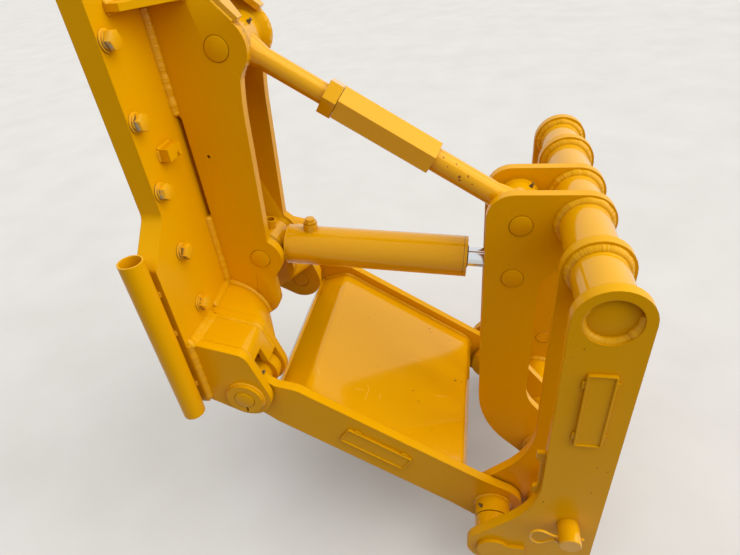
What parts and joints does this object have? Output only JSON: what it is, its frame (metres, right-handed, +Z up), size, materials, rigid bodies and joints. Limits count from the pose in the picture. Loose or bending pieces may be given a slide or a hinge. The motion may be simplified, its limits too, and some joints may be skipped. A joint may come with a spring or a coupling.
{
  "type": "motor grader front lift group",
  "caption": "Parallel lift linkage for the nose of a road grader: bolted mast, lower frame, adjustable top link, lift cylinder and a coupler head with cross tubes and lock pins.",
  "frame": {"origin": "centre of the mounting plate's rear face, level with its middle bolts", "axes": "+X forward, away from the machine; +Y to its left; +Z up"},
  "size_m": [1.0273, 0.954, 1.4444],
  "materials": {
    "yellow_paint": "gloss",
    "chrome_rod": "polished"
  },
  "bodies": {
    "mast": {"mount_plate": "yellow_paint", "mast_plate_right": "yellow_paint", "mast_plate_left": "yellow_paint", "mast_cap": "yellow_paint", "top_gusset_right": "yellow_paint", "top_gusset_left": "yellow_paint", "low_gusset_right": "yellow_paint", "low_gusset_left": "yellow_paint", "clevis_outer_right": "yellow_paint", "clevis_outer_left": "yellow_paint", "clevis_inner_right": "yellow_paint", "clevis_inner_left": "yellow_paint", "clevis_fold_right": "yellow_paint", "clevis_fold_left": "yellow_paint", "marker_tube_right": "yellow_paint", "marker_tube_left": "yellow_paint", "anchor_block": "yellow_paint", "mast_top_pin": "yellow_paint", "mast_cylinder_pin": "yellow_paint", "rear_pin_right": "yellow_paint", "rear_pin_left": "yellow_paint"},
    "lift_frame": {"arm_right": "yellow_paint", "arm_left": "yellow_paint", "deck": "yellow_paint"},
    "coupler_head": {"head_plate_right": "yellow_paint", "head_plate_left": "yellow_paint", "upper_tube": "yellow_paint", "lower_tube": "yellow_paint", "side_plate_right": "yellow_paint", "side_plate_left": "yellow_paint", "inner_ear_right": "yellow_paint", "inner_ear_left": "yellow_paint", "pivot_sleeve_right": "yellow_paint", "pivot_sleeve_left": "yellow_paint", "front_pin_right": "yellow_paint", "front_pin_left": "yellow_paint", "head_top_pin": "yellow_paint", "head_cylinder_pin": "yellow_paint", "lock_pin_right": "yellow_paint", "lock_pin_left": "yellow_paint"},
    "top_link": {"link_rear_rod": "yellow_paint", "link_nut": "yellow_paint", "link_sleeve": "yellow_paint", "link_front_rod": "yellow_paint"},
    "barrel": {"cylinder_barrel": "yellow_paint"},
    "rod": {"cylinder_rod": "chrome_rod", "rod_eye": "yellow_paint"}
  },
  "joints": [
    {"name": "lift", "type": "hinge", "parent": "mast", "child": "lift_frame", "pos_m": [0.154, 0, -0.534], "axis": [0, -1, 0], "range_deg": [-7, 38]},
    {"name": "head_level", "type": "hinge", "parent": "lift_frame", "child": "coupler_head", "pos_m": [0.78827, 0, -0.94905], "axis": [0, -1, 0], "range_deg": [-38, 7]},
    {"name": "top_link_swing", "type": "hinge", "parent": "mast", "child": "top_link", "pos_m": [0.187, 0, 0.249], "axis": [0, -1, 0], "range_deg": [-7, 38]},
    {"name": "cylinder_swing", "type": "hinge", "parent": "mast", "child": "barrel", "pos_m": [0.165, 0, -0.272], "axis": [0, -1, 0], "range_deg": [-6.29, 34.12]},
    {"name": "rod_slide", "type": "slide", "parent": "barrel", "child": "rod", "axis": [0.9979, 0, -0.0649], "range_m": [-0.0439, 0.2376]}
  ],
  "couplings": [
    {"joint": "head_level", "follows": "lift", "ratio": -1},
    {"joint": "top_link_swing", "follows": "lift", "ratio": 1},
    {"joint": "cylinder_swing", "follows": "lift", "ratio": 0.8976},
    {"joint": "rod_slide", "follows": "lift", "m_per_rad": 0.35815}
  ]
}
